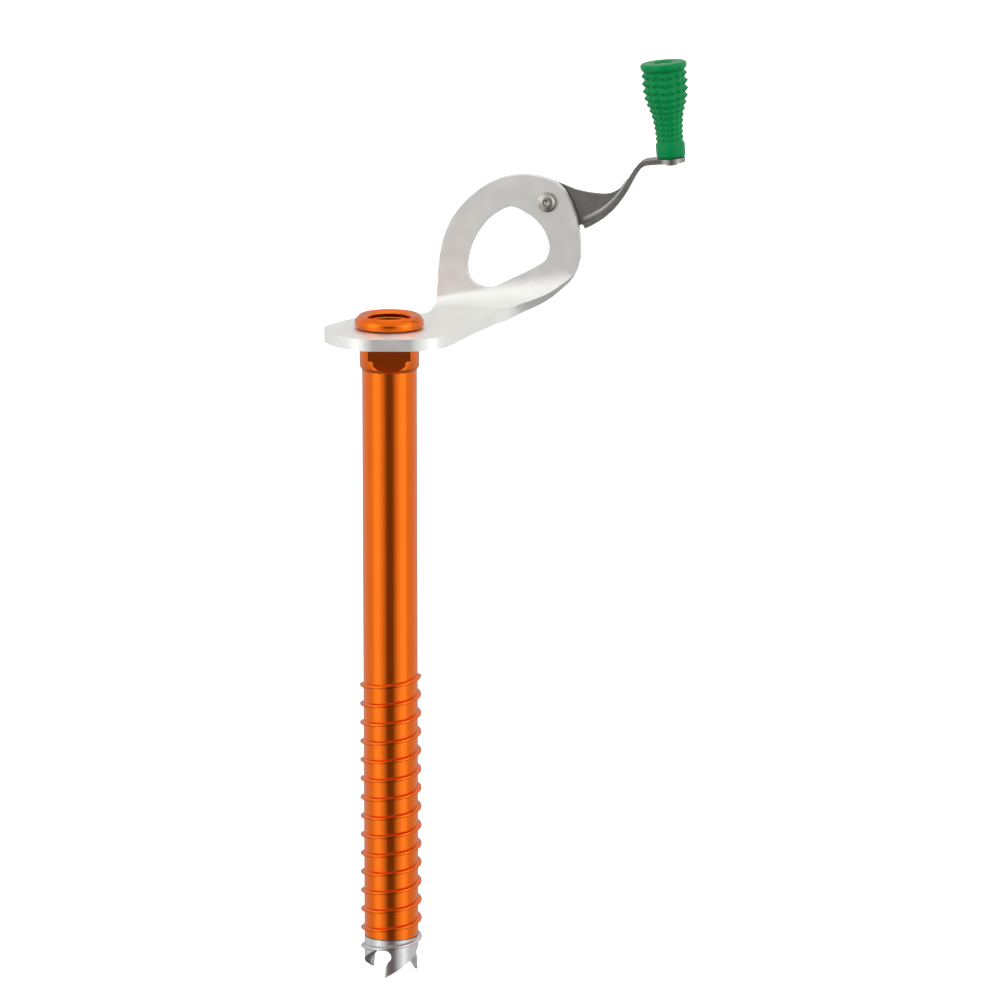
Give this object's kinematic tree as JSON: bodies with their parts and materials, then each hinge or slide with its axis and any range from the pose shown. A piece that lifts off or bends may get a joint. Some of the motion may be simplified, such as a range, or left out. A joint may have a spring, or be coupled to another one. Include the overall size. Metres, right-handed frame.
{
  "type": "ice screw",
  "caption": "Tubular ice screw with a toothed steel tip, a wound thread, a bent plate hanger with a carabiner eye, and a fold-out crank with a spinning knob.",
  "frame": {"origin": "on the tube's axis, in the plane of the hanger's underside, which comes to rest on the ice", "axes": "+Z along the tube from the cutting tip to the hanger, +X towards the carabiner eye's side, +Y from the hanger's front edge towards its upright lobe"},
  "size_m": [0.1184, 0.0668, 0.2982],
  "materials": {
    "orange_anodised_aluminium": "glossy orange anodising",
    "tool_steel": "ground and polished",
    "silver_anodised_aluminium": "satin clear anodising",
    "stainless_sheet": "pressed sheet, tumbled",
    "stainless_pins": "turned and riveted",
    "nylon": "moulded",
    "green_plastic": "moulded, studded grip"
  },
  "bodies": {
    "screw": {"tube": "orange_anodised_aluminium", "cutting_tip": "tool_steel", "head_ring": "orange_anodised_aluminium", "hanger": "silver_anodised_aluminium", "crank_rivet": "stainless_pins", "friction_washer": "nylon", "spring_washer": "stainless_pins"},
    "crank": {"crank_arm": "stainless_sheet", "knob_pin": "stainless_pins"},
    "knob": {"knob": "green_plastic"}
  },
  "joints": [
    {"name": "crank_fold", "type": "hinge", "parent": "screw", "child": "crank", "pos_m": [0.05117, 0.0364, 0.03875], "axis": [-0.1478, -0.989, 0], "range_deg": [0, 165]},
    {"name": "knob_spin", "type": "hinge", "parent": "crank", "child": "knob", "pos_m": [0.09177, 0.03342, 0.0532], "axis": [-0.0896, 0.0134, 0.9959], "continuous": true}
  ]
}
